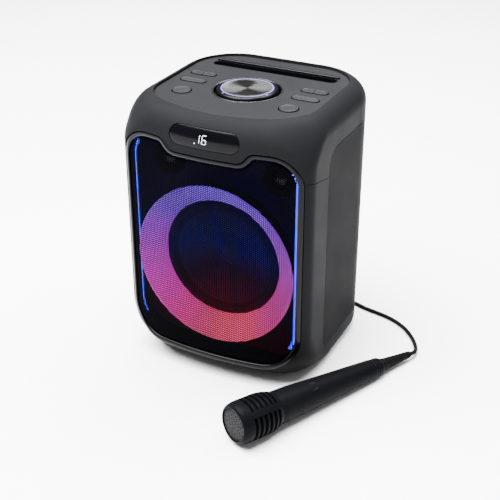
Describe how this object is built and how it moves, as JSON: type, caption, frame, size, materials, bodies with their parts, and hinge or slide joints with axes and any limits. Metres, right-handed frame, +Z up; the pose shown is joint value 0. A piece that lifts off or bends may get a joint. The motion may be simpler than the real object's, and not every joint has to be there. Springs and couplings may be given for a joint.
{
  "type": "party speaker",
  "caption": "Box-shaped karaoke party speaker with a lit woofer behind a perforated grille, a top control panel with a volume knob, and a corded hand microphone.",
  "frame": {"origin": "on the floor, midway between the four rubber feet", "axes": "+Z up, -Y out of the grille, +X to the right seen from behind the speaker, which is the side the microphone lies on"},
  "size_m": [0.2928, 0.389, 0.2924],
  "materials": {
    "casing_dark": "fine satin moulded ABS",
    "casing_side": "satin moulded ABS, a little lighter",
    "panel": "satin moulded ABS",
    "gloss_black": "polished black",
    "grille_metal": "perforated steel, black paint",
    "display_window": "smoked acrylic",
    "display_digits": "lit segments",
    "rubber": "matt",
    "inner_black": "matt",
    "magnet_steel": "zinc plated",
    "cone_paper": "coated paper",
    "copper": "wound wire",
    "spider_cloth": "resin treated cloth",
    "dome_metal": "satin",
    "ring_light": "frosted diffuser, lit",
    "strip_light": "light guide, lit",
    "knob_black": "satin gloss",
    "knob_light": "light guide, lit",
    "spun_metal": "spun, dark",
    "circuit_board": "solder mask",
    "battery_wrap": "shrink sleeve",
    "button_plastic": "satin",
    "screw_black": "black oxide",
    "mic_mesh_metal": "woven wire mesh, dark grey",
    "mic_black": "satin moulded ABS",
    "cord_black": "PVC jacket",
    "gold_pin": "gold plated"
  },
  "bodies": {
    "root": {"top_hood": "casing_dark", "front_frame": "casing_dark", "rear_shell": "casing_side", "base_tray": "casing_dark", "control_panel": "panel", "slot_liner": "gloss_black", "bezel_ring": "gloss_black", "grille": "grille_metal", "display_lens": "display_window", "display_board": "display_digits", "feet": "rubber", "baffle": "inner_black", "woofer_basket": "inner_black", "woofer_magnet": "magnet_steel", "woofer_surround": "rubber", "woofer_spider": "spider_cloth", "tweeter_frames": "inner_black", "tweeter_domes": "dome_metal", "light_funnel": "ring_light", "ring_led_board": "circuit_board", "light_strip_left": "strip_light", "light_strip_right": "strip_light", "encoder": "dome_metal", "control_board": "circuit_board", "tact_switches": "dome_metal", "main_board": "circuit_board", "battery_pack": "battery_wrap", "jack_plate": "inner_black", "mic_jacks": "inner_black", "aux_jack": "inner_black", "charge_port": "dome_metal", "bass_port": "inner_black", "case_screws": "screw_black", "woofer_screws": "dome_metal", "mic_mesh": "mic_mesh_metal", "mic_cage": "mic_black", "mic_capsule": "dome_metal", "mic_handle": "mic_black", "mic_end_cap": "mic_black", "mic_strain_relief": "rubber", "mic_cord_run": "cord_black", "mic_cord_coil": "cord_black", "mic_cord_tail": "cord_black", "mic_plug_sleeve": "cord_black", "mic_plug_pin": "gold_pin"},
    "volume_knob": {"knob_body": "knob_black", "knob_light_ring": "knob_light", "knob_cap": "spun_metal"},
    "woofer_moving": {"woofer_cone": "cone_paper", "dust_cap": "cone_paper", "voice_coil": "copper"},
    "mic_slider": {"mic_switch": "gloss_black"},
    "key_1": {"button_1": "button_plastic"},
    "key_2": {"button_2": "button_plastic"},
    "key_3": {"button_3": "button_plastic"},
    "key_4": {"button_4": "button_plastic"},
    "key_5": {"button_5": "button_plastic"},
    "key_6": {"button_6": "button_plastic"},
    "key_7": {"button_7": "button_plastic"},
    "key_8": {"button_8": "button_plastic"}
  },
  "joints": [
    {"name": "volume_turn", "type": "hinge", "parent": "root", "child": "volume_knob", "pos_m": [0, -0.008, 0.289], "axis": [0, 0, 1], "continuous": true},
    {"name": "cone_stroke", "type": "slide", "parent": "root", "child": "woofer_moving", "axis": [0, -1, 0], "range_m": [-0.003, 0.003], "stiffness_N_per_m": 1800},
    {"name": "mic_switch_slide", "type": "slide", "parent": "root", "child": "mic_slider", "axis": [0.4436, 0.8936, -0.069], "range_m": [-0.0025, 0.0025]},
    {"name": "key_1_press", "type": "slide", "parent": "root", "child": "key_1", "axis": [0, 0, -1], "range_m": [0, 0.0006], "stiffness_N_per_m": 600},
    {"name": "key_2_press", "type": "slide", "parent": "root", "child": "key_2", "axis": [0, 0, -1], "range_m": [0, 0.0006], "stiffness_N_per_m": 600},
    {"name": "key_3_press", "type": "slide", "parent": "root", "child": "key_3", "axis": [0, 0, -1], "range_m": [0, 0.0006], "stiffness_N_per_m": 600},
    {"name": "key_4_press", "type": "slide", "parent": "root", "child": "key_4", "axis": [0, 0, -1], "range_m": [0, 0.0006], "stiffness_N_per_m": 600},
    {"name": "key_5_press", "type": "slide", "parent": "root", "child": "key_5", "axis": [0, 0, -1], "range_m": [0, 0.0006], "stiffness_N_per_m": 600},
    {"name": "key_6_press", "type": "slide", "parent": "root", "child": "key_6", "axis": [0, 0, -1], "range_m": [0, 0.0006], "stiffness_N_per_m": 600},
    {"name": "key_7_press", "type": "slide", "parent": "root", "child": "key_7", "axis": [0, 0, -1], "range_m": [0, 0.0006], "stiffness_N_per_m": 600},
    {"name": "key_8_press", "type": "slide", "parent": "root", "child": "key_8", "axis": [0, 0, -1], "range_m": [0, 0.0006], "stiffness_N_per_m": 600}
  ]
}
